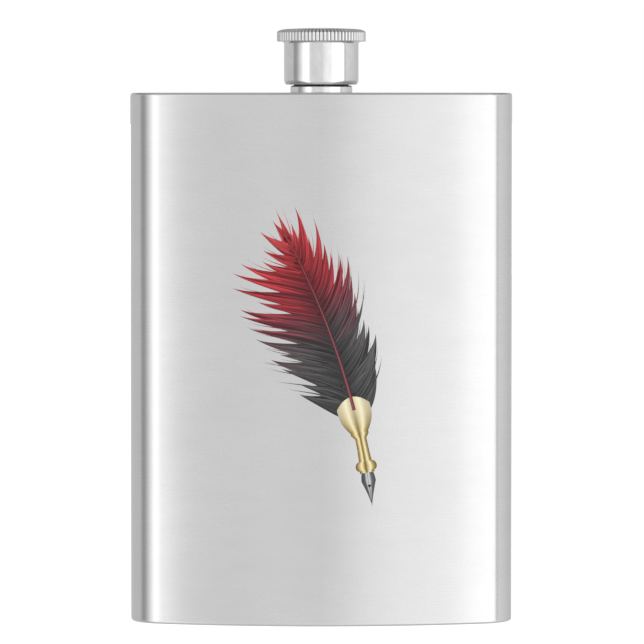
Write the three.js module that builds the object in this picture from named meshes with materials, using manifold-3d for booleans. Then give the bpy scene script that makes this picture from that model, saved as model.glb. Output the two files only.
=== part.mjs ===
// Curved steel hip flask with a knurled screw cap and a printed quill emblem.
//
// Millimetres, +Z up. The printed front faces -Y and the hollow of the back faces +Y. The origin
// lies on the resting plane, below the middle of the flask's bounding box.
import * as THREE from 'three';
import { mergeVertices } from 'three/addons/utils/BufferGeometryUtils.js';
import Module from 'manifold-3d';

const wasm = await Module();
wasm.setup();

// --- Body: a kidney-section tube of sheet steel, closed by a plate at each end ---------------
const BODY_WIDTH = 96;
const BODY_HEIGHT = 133;
const BODY_THICKNESS = 21;
const MIDLINE_RADIUS = 120; // of the arc that the section is bent along
const WRAP_WALL = 0.6;
const PLATE_THICKNESS = 0.8;
const PLATE_EDGE_RADIUS = 0.7;
const LIP_HEIGHT = 1.6; // locating lip under each end plate
const LIP_WALL = 0.6;
const LIP_CLEARANCE = 0.1; // lip to the inside of the wrap
const ARC_STEPS = 24; // facets on each of the section's four arcs
const EDGE_STEPS = 3; // facets round a plate's rolled edge

// --- Neck: a threaded spout with a collar that seats on the top plate ------------------------
const NECK_CORE_RADIUS = 6.85; // below the thread
const NECK_WALL = 0.7;
const NECK_HEIGHT = 12.6; // top plate to lip
const NECK_LIP_CHAMFER = 0.2;
const COLLAR_OVERHANG = 0.9; // collar beyond the core
const COLLAR_HEIGHT = 1.8;
const COLLAR_CHAMFER = 0.3;
const SPIGOT_OVERHANG = 0.25; // spigot beyond the core
const SPIGOT_BELOW_PLATE = 1.2;
const NECK_HOLE_CLEARANCE = 0.1; // spigot to the hole in the top plate

// --- Screw thread, shared by the neck and the cap's insert -----------------------------------
const THREAD_PITCH = 2.5;
const THREAD_HEIGHT = 0.7;
const THREAD_CLEARANCE = 0.2; // crest to the opposite core, all round
const THREAD_ROOT_HALF = 0.62; // half the ridge's thickness at its root
const THREAD_CREST_HALF = 0.3;
const THREAD_SINK = 0.3; // how far a ridge is sunk into the wall that carries it
const THREAD_FADE = 0.12; // share of a ridge's length over which each end fades out
const THREAD_STEPS_PER_TURN = 36;
const NECK_THREAD_START = 4.6; // above the top plate
const NECK_THREAD_TURNS = 2.2;
const INSERT_THREAD_TURNS = 1.8;

// --- Cap: a turned steel shell, a plastic insert with the thread, and a soft seal ------------
const CAP_GAP = 0.25; // collar to the rim of the skirt
const INSERT_WALL = 0.75;
const INSERT_CLEARANCE = 0.1; // insert to the shell
const INSERT_SETBACK = 0.1; // rim of the insert inside the rim of the skirt
const INSERT_TOP = 0.5;
const SEAL_THICKNESS = 1.4;
const SEAL_CLEARANCE = 0.15; // seal to the insert
const SEAL_CHAMFER = 0.15;
const SHELL_WALL = 0.7;
const SHELL_TOP = 1.42; // least thickness over the ceiling, at the flange's shoulder
const SKIRT_LIP_ROUND = 0.45;
const SKIRT_FILLET = 0.7;
const FLANGE_OVERHANG = 1.8; // knurl crests beyond the skirt
const FLANGE_HEIGHT = 2.2;
const KNURL_DEPTH = 0.28;
const KNURL_COUNT = 72; // a multiple of four puts a crest on each side
const DOME_RISE = 0.25;
const SHOULDER_RISE = 0.9; // rounded shoulder between the knurl and the dome
const SHOULDER_WIDTH = 2.8;
const DOME_STEPS = 5;
const ROUND_STEPS = 3;
const TURN_STEPS = 48; // facets round every turned piece
const OVERCUT = 1; // how far a cutter runs past what it cuts

// --- Printed emblem: an ink film on the front, in the outline of a quill ---------------------
const FILM_THICKNESS = 0.15;
const FILM_GAP = 0.05; // film to the steel
const QUILL_TIP = new THREE.Vector2(12.7, 30); // point of the nib, from the middle of the base
const QUILL_LENGTH = 77; // along the bent shaft
const NIB_LEAN = THREE.MathUtils.degToRad(7); // to the left, at the nib's point
const PLUME_LEAN = THREE.MathUtils.degToRad(30); // to the left, at the plume's tip
const NIB_LENGTH = 9;
const NIB_HALF_WIDTH = 1.9;
const NIB_SHOULDER = 0.75; // its widest place, as a share of its length
const FERRULE_LENGTH = 16;
const FERRULE_HALF_WIDTH = 4; // where the plume leaves it
const STEM_HALF_WIDTH = 1.4; // where the ferrule meets the nib
const VANE_LEFT = 15.5; // greatest reach of the plume to the left of the shaft
const VANE_RIGHT = 10;
const VANE_FULLNESS = 0.75; // below 1 the plume is widest nearer its foot
const PLUME_STEPS = 12;

// --- Places that follow from the sizes above -------------------------------------------------
const TOP = BODY_HEIGHT;
const ARC_CENTRE_Y = MIDLINE_RADIUS + BODY_THICKNESS / 2; // behind the front face
const END_ANGLE = Math.asin((BODY_WIDTH - BODY_THICKNESS) / 2 / MIDLINE_RADIUS);
const END_CENTRE_Y = ARC_CENTRE_Y - MIDLINE_RADIUS * Math.cos(END_ANGLE);
const NECK_Y = BODY_THICKNESS / 2;
const INSERT_BORE_RADIUS = NECK_CORE_RADIUS + THREAD_HEIGHT + THREAD_CLEARANCE;
const INSERT_RADIUS = INSERT_BORE_RADIUS + INSERT_WALL;
const SHELL_BORE_RADIUS = INSERT_RADIUS + INSERT_CLEARANCE;
const SKIRT_RADIUS = SHELL_BORE_RADIUS + SHELL_WALL;
const FLANGE_RADIUS = SKIRT_RADIUS + FLANGE_OVERHANG;
const SPIGOT_RADIUS = NECK_CORE_RADIUS + SPIGOT_OVERHANG;
const LIP_Z = TOP + NECK_HEIGHT;
const SKIRT_Z = TOP + COLLAR_HEIGHT + CAP_GAP;
const CEILING_Z = LIP_Z + SEAL_THICKNESS + INSERT_TOP;
const SHOULDER_Z = CEILING_Z + SHELL_TOP - SHOULDER_RISE;
const FLANGE_Z = SHOULDER_Z - FLANGE_HEIGHT;
const CAP_TOP_Z = SHOULDER_Z + SHOULDER_RISE + DOME_RISE;
const FRONT_EDGE_Y = Math.min(0, NECK_Y - FLANGE_RADIUS);
const BACK_EDGE_Y = Math.max(END_CENTRE_Y + BODY_THICKNESS / 2, NECK_Y + FLANGE_RADIUS);
const CENTRE_Y = (FRONT_EDGE_Y + BACK_EDGE_Y) / 2; // of the box, behind the front face

/** Turns a three.js geometry into a manifold solid. */
function toSolid(geometry) {
  const bare = geometry.index ? geometry.toNonIndexed() : geometry.clone();
  bare.deleteAttribute('normal');
  bare.deleteAttribute('uv');
  const merged = mergeVertices(bare);
  const vertProperties = merged.attributes.position.array;
  const triVerts = new Uint32Array(merged.index.array);
  return new wasm.Manifold(new wasm.Mesh({ numProp: 3, vertProperties, triVerts }));
}

/** Turns a manifold solid back into a three.js geometry. */
function toGeometry(solid) {
  const mesh = solid.getMesh();
  const geometry = new THREE.BufferGeometry();
  geometry.setAttribute('position', new THREE.BufferAttribute(mesh.vertProperties, 3));
  geometry.setIndex(new THREE.BufferAttribute(mesh.triVerts, 1));
  geometry.computeVertexNormals();
  return geometry;
}

/** Points along a circular arc, without its last point, so that arcs can be chained. */
function arcPoints(x, y, radius, from, to) {
  const curve = new THREE.EllipseCurve(x, y, radius, radius, from, to, to < from);
  return curve.getPoints(ARC_STEPS).slice(0, -1);
}

/** The body's kidney outline, drawn inset by a distance, with the front face at y = 0. */
function kidneyOutline(inset) {
  const down = -Math.PI / 2;
  const endX = MIDLINE_RADIUS * Math.sin(END_ANGLE);
  const endRadius = BODY_THICKNESS / 2 - inset;
  const front = MIDLINE_RADIUS + endRadius;
  const back = MIDLINE_RADIUS - endRadius;
  const left = down - END_ANGLE;
  const right = down + END_ANGLE;
  return [
    ...arcPoints(0, ARC_CENTRE_Y, front, left, right),
    ...arcPoints(endX, END_CENTRE_Y, endRadius, right, right + Math.PI),
    ...arcPoints(0, ARC_CENTRE_Y, back, right, left),
    ...arcPoints(-endX, END_CENTRE_Y, endRadius, left + Math.PI, left + 2 * Math.PI),
  ];
}

/** A straight-walled solid of the kidney outline between two heights. */
function kidneyPrism(inset, bottom, top) {
  const shape = new THREE.Shape(kidneyOutline(inset));
  const geometry = new THREE.ExtrudeGeometry(shape, { depth: top - bottom, bevelEnabled: false });
  return toSolid(geometry.translate(0, 0, bottom));
}

/** Revolves [radius, height] pairs about the vertical axis. */
function turned(profile) {
  const points = profile.map(([radius, height]) => new THREE.Vector2(radius, height));
  return new THREE.LatheGeometry(points, TURN_STEPS).rotateX(Math.PI / 2);
}

/** A plain vertical cylinder with the same facets as every turned piece. */
function turnedPlug(radius, bottom, top) {
  return toSolid(turned([[0, bottom], [radius, bottom], [radius, top], [0, top]]));
}

/** One helical ridge on a wall of radius `core`, reaching out or in to the radius `crest`. */
function threadRidge({ core, crest, start, turns }) {
  const outward = Math.sign(crest - core);
  const root = core - outward * THREAD_SINK;
  const faded = core - outward * THREAD_SINK / 2; // each end of the crest lies inside the wall
  const steps = Math.round(turns * THREAD_STEPS_PER_TURN);
  const geometry = new THREE.BoxGeometry(1, 1, 1, 1, steps, 1);
  const position = geometry.attributes.position;
  for (let i = 0; i < position.count; i += 1) {
    const along = position.getY(i) + 0.5;
    const onCrest = position.getX(i) * outward > 0;
    const share = Math.min(1, along / THREAD_FADE, (1 - along) / THREAD_FADE);
    const radius = onCrest ? THREE.MathUtils.lerp(faded, crest, share) : root;
    const crestHalf = THREE.MathUtils.lerp(THREAD_ROOT_HALF, THREAD_CREST_HALF, share);
    const half = onCrest ? crestHalf : THREAD_ROOT_HALF;
    const angle = along * turns * 2 * Math.PI;
    const height = start + along * turns * THREAD_PITCH + Math.sign(position.getZ(i)) * half;
    position.setXYZ(i, radius * Math.cos(angle), radius * Math.sin(angle), height);
  }
  return toSolid(geometry);
}

/** A kidney plate with a rolled outer edge and a locating lip, its flat face at z = 0. */
function endPlate() {
  const shape = new THREE.Shape(kidneyOutline(0));
  const rolled = new THREE.ExtrudeGeometry(shape, {
    depth: PLATE_THICKNESS,
    bevelEnabled: true,
    bevelThickness: PLATE_EDGE_RADIUS,
    bevelSize: PLATE_EDGE_RADIUS,
    bevelOffset: -PLATE_EDGE_RADIUS,
    bevelSegments: EDGE_STEPS,
  }).translate(0, 0, PLATE_EDGE_RADIUS);
  const slab = toSolid(rolled).intersect(kidneyPrism(-OVERCUT, 0, PLATE_THICKNESS));
  const lipInset = WRAP_WALL + LIP_CLEARANCE;
  const lipTop = PLATE_THICKNESS + LIP_HEIGHT;
  const lipRoot = PLATE_THICKNESS / 2;
  const lip = kidneyPrism(lipInset, lipRoot, lipTop)
    .subtract(kidneyPrism(lipInset + LIP_WALL, 0, lipTop + OVERCUT));
  return slab.add(lip);
}

/** The sheet wrapped round to a kidney section, its weld ground flush. */
function bodyWrap() {
  const bottom = PLATE_THICKNESS;
  const top = TOP - PLATE_THICKNESS;
  const inside = kidneyPrism(WRAP_WALL, bottom - OVERCUT, top + OVERCUT);
  return kidneyPrism(0, bottom, top).subtract(inside);
}

/** The upper plate, with the hole that the neck's spigot passes through. */
function topPlate() {
  const under = TOP - PLATE_THICKNESS - OVERCUT;
  const hole = turnedPlug(SPIGOT_RADIUS + NECK_HOLE_CLEARANCE, under, TOP + OVERCUT)
    .translate([0, NECK_Y, 0]);
  return endPlate().mirror([0, 0, 1]).translate([0, 0, TOP]).subtract(hole);
}

/** The spout: a spigot through the plate, a collar on it and a threaded tube above. */
function neck() {
  const bore = NECK_CORE_RADIUS - NECK_WALL;
  const collar = NECK_CORE_RADIUS + COLLAR_OVERHANG;
  const foot = TOP - PLATE_THICKNESS - SPIGOT_BELOW_PLATE;
  const collarTop = TOP + COLLAR_HEIGHT;
  const tube = toSolid(turned([
    [bore, foot],
    [SPIGOT_RADIUS, foot],
    [SPIGOT_RADIUS, TOP],
    [collar, TOP],
    [collar, collarTop - COLLAR_CHAMFER],
    [collar - COLLAR_CHAMFER, collarTop],
    [NECK_CORE_RADIUS, collarTop],
    [NECK_CORE_RADIUS, LIP_Z - NECK_LIP_CHAMFER],
    [NECK_CORE_RADIUS - NECK_LIP_CHAMFER, LIP_Z],
    [bore, LIP_Z],
    [bore, foot],
  ]));
  return tube.add(threadRidge({
    core: NECK_CORE_RADIUS,
    crest: NECK_CORE_RADIUS + THREAD_HEIGHT,
    start: TOP + NECK_THREAD_START,
    turns: NECK_THREAD_TURNS,
  }));
}

/** The plastic cup inside the cap, its thread half a pitch out of step with the neck's. */
function capThreadInsert() {
  const rim = SKIRT_Z + INSERT_SETBACK;
  const roof = CEILING_Z - INSERT_TOP;
  const cup = toSolid(turned([
    [0, roof],
    [INSERT_BORE_RADIUS, roof],
    [INSERT_BORE_RADIUS, rim],
    [INSERT_RADIUS, rim],
    [INSERT_RADIUS, CEILING_Z],
    [0, CEILING_Z],
  ]));
  return cup.add(threadRidge({
    core: INSERT_BORE_RADIUS,
    crest: INSERT_BORE_RADIUS - THREAD_HEIGHT,
    start: TOP + NECK_THREAD_START - THREAD_PITCH / 2,
    turns: INSERT_THREAD_TURNS,
  }));
}

/** The soft disc that closes on the neck's lip. */
function capSeal() {
  const radius = INSERT_BORE_RADIUS - SEAL_CLEARANCE;
  const top = LIP_Z + SEAL_THICKNESS;
  return toSolid(turned([
    [0, LIP_Z],
    [radius - SEAL_CHAMFER, LIP_Z],
    [radius, LIP_Z + SEAL_CHAMFER],
    [radius, top - SEAL_CHAMFER],
    [radius - SEAL_CHAMFER, top],
    [0, top],
  ]));
}

/** Quarter-round [radius, height] pairs between two corners, bulging through a third. */
function roundedCorner(from, corner, to) {
  const [a, b, c] = [from, corner, to].map(([x, y]) => new THREE.Vector2(x, y));
  return new THREE.QuadraticBezierCurve(a, b, c).getPoints(ROUND_STEPS).map((p) => [p.x, p.y]);
}

/** The knurled band: a star-shaped prism round the flange. */
function knurlBand() {
  const shape = new THREE.Shape(Array.from({ length: 2 * KNURL_COUNT }, (_, i) => {
    const angle = (i * Math.PI) / KNURL_COUNT;
    const radius = FLANGE_RADIUS - (i % 2) * KNURL_DEPTH;
    return new THREE.Vector2(radius * Math.cos(angle), radius * Math.sin(angle));
  }));
  const geometry = new THREE.ExtrudeGeometry(shape, { depth: FLANGE_HEIGHT, bevelEnabled: false });
  return toSolid(geometry.translate(0, 0, FLANGE_Z));
}

/** The turned steel shell: domed top, knurled flange and plain skirt, hollow underneath. */
function capShell() {
  const shoulder = FLANGE_RADIUS - KNURL_DEPTH;
  const domeRadius = shoulder - SHOULDER_WIDTH;
  const domeZ = SHOULDER_Z + SHOULDER_RISE;
  const dome = Array.from({ length: DOME_STEPS }, (_, i) => {
    const share = i / DOME_STEPS;
    return [share * domeRadius, domeZ + DOME_RISE * (1 - share * share)];
  });
  const turnedShell = toSolid(turned([
    ...dome,
    ...roundedCorner([domeRadius, domeZ], [shoulder, domeZ], [shoulder, SHOULDER_Z]),
    [shoulder, FLANGE_Z],
    ...roundedCorner(
      [SKIRT_RADIUS + SKIRT_FILLET, FLANGE_Z],
      [SKIRT_RADIUS, FLANGE_Z],
      [SKIRT_RADIUS, FLANGE_Z - SKIRT_FILLET],
    ),
    ...roundedCorner(
      [SKIRT_RADIUS, SKIRT_Z + SKIRT_LIP_ROUND],
      [SKIRT_RADIUS, SKIRT_Z],
      [SKIRT_RADIUS - SKIRT_LIP_ROUND, SKIRT_Z],
    ),
    [0, SKIRT_Z],
  ].reverse()));
  return turnedShell.add(knurlBand()).subtract(turnedPlug(SHELL_BORE_RADIUS, TOP, CEILING_Z));
}

/** A point of the print, at a distance along the bent shaft from the nib and across it. */
function quillPoint(across, along) {
  const bendRadius = QUILL_LENGTH / (PLUME_LEAN - NIB_LEAN);
  const lean = NIB_LEAN + along / bendRadius;
  const shaftX = QUILL_TIP.x - bendRadius * (Math.cos(NIB_LEAN) - Math.cos(lean));
  const shaftZ = QUILL_TIP.y + bendRadius * (Math.sin(lean) - Math.sin(NIB_LEAN));
  return new THREE.Vector2(shaftX + across * Math.cos(lean), shaftZ + across * Math.sin(lean));
}

/** The outline of the quill's nib, ferrule and plume. */
function quillShape() {
  const plumeStart = NIB_LENGTH + FERRULE_LENGTH;
  const plumeLength = QUILL_LENGTH - plumeStart;
  const side = (reach) => [
    [NIB_HALF_WIDTH, NIB_LENGTH * NIB_SHOULDER],
    [STEM_HALF_WIDTH, NIB_LENGTH],
    ...Array.from({ length: PLUME_STEPS }, (_, i) => {
      const share = i / PLUME_STEPS;
      const swell = Math.sin(Math.PI * share ** VANE_FULLNESS) * reach;
      return [FERRULE_HALF_WIDTH * (1 - share) + swell, plumeStart + share * plumeLength];
    }),
  ];
  const right = side(VANE_RIGHT).map(([across, along]) => quillPoint(across, along));
  const left = side(VANE_LEFT).map(([across, along]) => quillPoint(-across, along));
  return new THREE.Shape([quillPoint(0, 0), ...right, quillPoint(0, QUILL_LENGTH), ...left.reverse()]);
}

/** The ink film: the quill's outline cut out of a thin skin that follows the front's facets. */
function printedEmblem() {
  const front = MIDLINE_RADIUS + BODY_THICKNESS / 2 + FILM_GAP;
  const left = -Math.PI / 2 - END_ANGLE;
  const right = -Math.PI / 2 + END_ANGLE;
  const inside = arcPoints(0, ARC_CENTRE_Y, front, left, right);
  const outside = arcPoints(0, ARC_CENTRE_Y, front + FILM_THICKNESS, left, right);
  const strip = new THREE.Shape([...outside, ...inside.reverse()]);
  const skin = new THREE.ExtrudeGeometry(strip, { depth: BODY_HEIGHT, bevelEnabled: false });
  const depth = BODY_THICKNESS;
  const quill = new THREE.ExtrudeGeometry(quillShape(), { depth, bevelEnabled: false })
    .rotateX(Math.PI / 2)
    .translate(0, depth / 2, 0);
  return toSolid(skin).intersect(toSolid(quill));
}

const steel = { color: 0xb9b9bb, metalness: 1, roughness: 0.35 };
const polished = { color: 0xd2d2d4, metalness: 1, roughness: 0.15 };
const plastic = { color: 0xb8b5ad, metalness: 0, roughness: 0.45 };
const silicone = { color: 0xd9d7cf, metalness: 0, roughness: 0.6 };
const ink = { color: 0xa81d26, metalness: 0, roughness: 0.5 };

/** One named mesh for a sub-part. */
function piece(name, solid, finish) {
  const mesh = new THREE.Mesh(toGeometry(solid), new THREE.MeshStandardMaterial(finish));
  mesh.name = name;
  return mesh;
}

const cap = new THREE.Group();
cap.add(piece('cap_shell', capShell(), polished));
cap.add(piece('cap_thread_insert', capThreadInsert(), plastic));
cap.add(piece('cap_seal', capSeal(), silicone));

const spout = new THREE.Group();
spout.position.y = NECK_Y;
spout.add(piece('neck', neck(), polished));
spout.add(cap);

const flask = new THREE.Group();
flask.position.y = -CENTRE_Y;
flask.add(piece('body_wrap', bodyWrap(), steel));
flask.add(piece('top_plate', topPlate(), steel));
flask.add(piece('bottom_plate', endPlate(), steel));
flask.add(piece('printed_emblem', printedEmblem(), ink));
flask.add(spout);

const hipFlask = new THREE.Group();
hipFlask.add(flask);

export default hipFlask;
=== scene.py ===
"""Curved steel hip flask with a screw cap and a printed quill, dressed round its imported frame.

Lengths are in metres. +Z is up, the printed front faces -Y and the hollow of the back faces +Y.
"""

from __future__ import annotations

import logging
import math
import random
from collections.abc import Callable, Iterable, Sequence
from dataclasses import dataclass
from enum import Enum
from typing import Any

import bmesh
import bpy
from mathutils import Matrix, Vector


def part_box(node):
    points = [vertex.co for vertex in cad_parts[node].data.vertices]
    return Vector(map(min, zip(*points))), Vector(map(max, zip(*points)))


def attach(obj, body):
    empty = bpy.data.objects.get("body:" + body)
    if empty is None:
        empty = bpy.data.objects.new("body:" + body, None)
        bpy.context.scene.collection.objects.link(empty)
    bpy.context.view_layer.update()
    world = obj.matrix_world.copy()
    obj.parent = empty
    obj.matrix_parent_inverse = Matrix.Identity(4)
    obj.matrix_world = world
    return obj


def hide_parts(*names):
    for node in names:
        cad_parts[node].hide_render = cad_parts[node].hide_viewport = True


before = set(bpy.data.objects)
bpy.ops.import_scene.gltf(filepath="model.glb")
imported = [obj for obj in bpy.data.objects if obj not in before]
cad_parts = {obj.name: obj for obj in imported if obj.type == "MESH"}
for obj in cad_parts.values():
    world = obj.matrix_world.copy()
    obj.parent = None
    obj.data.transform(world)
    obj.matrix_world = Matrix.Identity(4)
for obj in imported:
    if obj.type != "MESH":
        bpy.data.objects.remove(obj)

LOG = logging.getLogger("flask")
MM = 0.001
UP = Vector((0, 0, 1))
SHARP = math.radians(32)  # edges that turn more than this are drawn as edges
MERGE = 1e-7  # vertices closer than this are one
ROUND_SEGMENTS = 4  # facets of a rounded corner of a turned piece

Edges = list[bmesh.types.BMEdge]
Colour = tuple[float, float, float]


class Body(Enum):
    """The bodies of the frame that a piece can ride on."""

    FLASK = "flask"
    SEAL = "seal"
    CAP = "cap"


class Slot(Enum):
    """The material slots of the record."""

    BRUSHED = "brushed_steel"
    POLISHED = "polished_steel"
    INSERT = "insert_plastic"
    SEAL = "seal_silicone"
    INK = "print_ink"


# --- Shader maths ------------------------------------------------------------------------------


class Signal:
    """A shader socket that can be used in Python arithmetic."""

    def __init__(self, paint: Paint, socket: bpy.types.NodeSocket) -> None:
        """Wraps a socket of a material under construction."""
        self.paint = paint
        self.socket = socket

    def _math(self, operation: str, *values: Any) -> Signal:
        """Adds a Math node for an operation on values."""
        return self.paint.node("ShaderNodeMath", {"operation": operation}, dict(enumerate(values)))

    def __add__(self, other: Any) -> Signal:
        """Sum."""
        return self._math("ADD", self, other)

    __radd__ = __add__

    def __sub__(self, other: Any) -> Signal:
        """Difference."""
        return self._math("SUBTRACT", self, other)

    def __rsub__(self, other: Any) -> Signal:
        """Difference, with the signal taken away."""
        return self._math("SUBTRACT", other, self)

    def __mul__(self, other: Any) -> Signal:
        """Product."""
        return self._math("MULTIPLY", self, other)

    __rmul__ = __mul__

    def __truediv__(self, other: Any) -> Signal:
        """Quotient."""
        return self._math("DIVIDE", self, other)

    def between(self, low: float, high: float) -> Signal:
        """Rises smoothly from 0 at low to 1 at high."""
        settings = {"interpolation_type": "SMOOTHSTEP"}
        return self.paint.node("ShaderNodeMapRange", settings, {0: self, 1: low, 2: high})


class Paint:
    """A material under construction, with a Principled shader."""

    def __init__(self, name: str, **constants: Any) -> None:
        """Starts a material.

        Args:
            name: The material's name.
            constants: Principled inputs by name, with _ for a space, that are the same all over.
        """
        self.material = bpy.data.materials.new(name)
        self.material.use_nodes = True
        self.tree = self.material.node_tree
        self.shader = self.tree.nodes["Principled BSDF"]
        for key, value in constants.items():
            self.shader.inputs[key.replace("_", " ")].default_value = value

    def node(
        self,
        kind: str,
        settings: dict[str, Any] | None = None,
        values: dict[Any, Any] | None = None,
        output: int | str = 0,
    ) -> Signal:
        """Adds any node.

        Args:
            kind: The node's type.
            settings: Its own settings, such as an operation or a ramp's stops, set first.
            values: Numbers, vectors or signals for its inputs, by name or place.
            output: The name or place of the output that is returned.

        Returns:
            The output as a signal.
        """
        made = self.tree.nodes.new(kind)
        for key, value in (settings or {}).items():
            if key == "stops":
                self._set_stops(made.color_ramp, value)
            else:
                setattr(made, key, value)
        for key, value in (values or {}).items():
            if isinstance(value, Signal):
                self.tree.links.new(value.socket, made.inputs[key])
            else:
                made.inputs[key].default_value = value
        return Signal(self, made.outputs[output])

    @staticmethod
    def _set_stops(ramp: bpy.types.ColorRamp, stops: Sequence[tuple[float, Sequence[float]]]) -> None:
        """Gives a ramp its stops.

        Args:
            ramp: The ramp.
            stops: The place and the colour of each stop.
        """
        while len(ramp.elements) < len(stops):
            ramp.elements.new(0.5)
        for element, (place, colour) in zip(ramp.elements, stops):
            element.position = place
            element.color = (*colour, 1)

    def place(self, centre: Sequence[float] = (0, 0, 0), scale: Sequence[float] = (1, 1, 1)) -> Signal:
        """Gives object coordinates about a centre, scaled.

        Args:
            centre: The point that becomes the origin.
            scale: What each coordinate about it is multiplied by.

        Returns:
            The coordinates.
        """
        where = self.node("ShaderNodeTexCoord", output="Object")
        shift = {"Vector": where, "Location": [-c * s for c, s in zip(centre, scale)], "Scale": scale}
        return self.node("ShaderNodeMapping", {}, shift)

    def noise(self, where: Signal, scale: float, detail: float = 3, rough: float = 0.5) -> Signal:
        """A noise from 0 to 1."""
        values = {"Vector": where, "Scale": scale, "Detail": detail, "Roughness": rough}
        return self.node("ShaderNodeTexNoise", {}, values)

    def ramp(self, factor: Signal, stops: Sequence[tuple[float, Sequence[float]]]) -> Signal:
        """A colour for each value of a factor."""
        return self.node("ShaderNodeValToRGB", {"stops": stops}, {0: factor})

    def mix(self, factor: Any, low: Any, high: Any) -> Signal:
        """A mix of two colours."""
        values = {0: factor, 6: self._rgba(low), 7: self._rgba(high)}
        return self.node("ShaderNodeMix", {"data_type": "RGBA"}, values, output=2)

    @staticmethod
    def _rgba(colour: Any) -> Any:
        """Adds an alpha to a plain colour."""
        return colour if isinstance(colour, Signal) else (*colour, 1)

    def feed(self, **signals: Signal) -> None:
        """Links signals to Principled inputs by name."""
        for key, signal in signals.items():
            self.tree.links.new(signal.socket, self.shader.inputs[key.replace("_", " ")])

    def bump(self, height: Signal, distance: float, strength: float = 1) -> None:
        """Feeds a height in units of distance to the shader's normal."""
        values = {"Height": height, "Distance": distance, "Strength": strength}
        self.feed(Normal=self.node("ShaderNodeBump", {}, values))


# --- Finishes ----------------------------------------------------------------------------------


@dataclass(frozen=True)
class BrushedSteel:
    """Sheet steel with fine brush lines that run level round the body."""

    name: str
    bright: Colour = (0.85, 0.845, 0.845)
    dull: Colour = (0.77, 0.765, 0.77)
    roughness: float = 0.27
    anisotropy: float = 0.9
    line_pitch: float = 0.25 * MM
    line_length: float = 9 * MM
    line_depth: float = 0.0015 * MM
    cloud_scale: tuple[float, float, float] = (30, 30, 45)
    patch_scale: tuple[float, float, float] = (90, 90, 260)
    patch_centre: tuple[float, float, float] = (0.3, 0.1, 0.7)  # far from the clouds' own centre

    def make(self) -> bpy.types.Material:
        """Builds the material.

        Returns:
            The material.
        """
        paint = Paint(self.name, Metallic=1.0, Anisotropic=self.anisotropy, Anisotropic_Rotation=0.25)
        along = 1 / self.line_length
        lines = paint.noise(paint.place(scale=(along, along, 1 / self.line_pitch)), 1, 4, 0.6)
        fine = paint.noise(paint.place(scale=(along * 3, along * 3, 4 / self.line_pitch)), 1, 2)
        clouds = paint.noise(paint.place(scale=self.cloud_scale), 1, 3)
        patches = paint.noise(paint.place(self.patch_centre, self.patch_scale), 1, 4, 0.6)
        tone = lines * 0.24 + clouds * 0.46 + patches * 0.3
        paint.feed(Base_Color=paint.mix(tone.between(0.25, 0.8), self.dull, self.bright))
        paint.feed(Roughness=self.roughness + (lines - 0.5) * 0.05 + (clouds - 0.5) * 0.06)
        paint.bump(lines * 0.7 + fine * 0.3, self.line_depth)
        return paint.material


@dataclass(frozen=True)
class TurnedSteel:
    """Steel finished on a lathe, nearly polished, with faint rings about its axis, and painted shade with
    some dirt in its knurl's grooves.
    """

    name: str
    axis: tuple[float, float]
    bright: Colour = (0.86, 0.86, 0.865)
    dull: Colour = (0.78, 0.78, 0.79)
    groove_shade_and_dirt: Colour = (0.34, 0.34, 0.34)  # painted shade with some dirt, in the knurl's grooves
    roughness: float = 0.14
    anisotropy: float = 0.55
    ring_pitch: float = 0.12 * MM
    ring_depth: float = 0.0012 * MM
    wear_scale: tuple[float, float, float] = (420, 420, 260)

    def make(self) -> bpy.types.Material:
        """Builds the material.

        Returns:
            The material.
        """
        paint = Paint(self.name, Metallic=1.0, Anisotropic=self.anisotropy, Anisotropic_Rotation=0.25)
        centre = (*self.axis, 0)
        local = paint.place(centre)
        level = paint.place(centre, (1, 1, 0))
        radius = paint.node("ShaderNodeVectorMath", {"operation": "LENGTH"}, {0: level}, output="Value")
        height = paint.node("ShaderNodeSeparateXYZ", {}, {0: local}, output="Z")
        across = paint.node("ShaderNodeCombineXYZ", {}, {0: height, 1: radius})
        rings = paint.noise(across, 1 / self.ring_pitch, 2)
        wear = paint.noise(paint.place(centre, self.wear_scale), 1, 4, 0.65)
        groove = paint.node("ShaderNodeAttribute", {"attribute_name": "groove"}, output="Fac")
        metal = paint.mix(wear.between(0.3, 0.75), self.bright, self.dull)
        # the knurl's grooves turn darker with their depth: painted shade, with some dirt
        paint.feed(Base_Color=paint.mix(groove * (0.55 + wear * 0.6), metal, self.groove_shade_and_dirt))
        paint.feed(Roughness=self.roughness + (rings - 0.5) * 0.07 + (wear - 0.5) * 0.1 + groove * 0.15)
        paint.bump(rings, self.ring_depth)
        return paint.material


@dataclass(frozen=True)
class Moulded:
    """Moulded plastic or silicone with a faint mottled skin."""

    name: str
    colour: Colour
    shade: Colour
    roughness: float
    softness: float = 0.0
    depth: tuple[float, float, float] = (1.2 * MM, 1.0 * MM, 0.8 * MM)  # that each colour of light reaches
    mottle_scale: float = 700
    grain_scale: float = 5200
    grain_depth: float = 0.006 * MM

    def make(self) -> bpy.types.Material:
        """Builds the material.

        Returns:
            The material.
        """
        paint = Paint(
            self.name,
            Subsurface_Weight=self.softness,
            Subsurface_Radius=self.depth,
            Specular_IOR_Level=0.45,
        )
        mottle = paint.noise(paint.place(scale=(self.mottle_scale,) * 3), 1, 4)
        grain = paint.noise(paint.place(scale=(self.grain_scale,) * 3), 1, 2)
        paint.feed(Base_Color=paint.mix(mottle.between(0.3, 0.7), self.colour, self.shade))
        paint.feed(Roughness=self.roughness + (mottle - 0.5) * 0.14)
        paint.bump(grain, self.grain_depth)
        return paint.material


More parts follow.
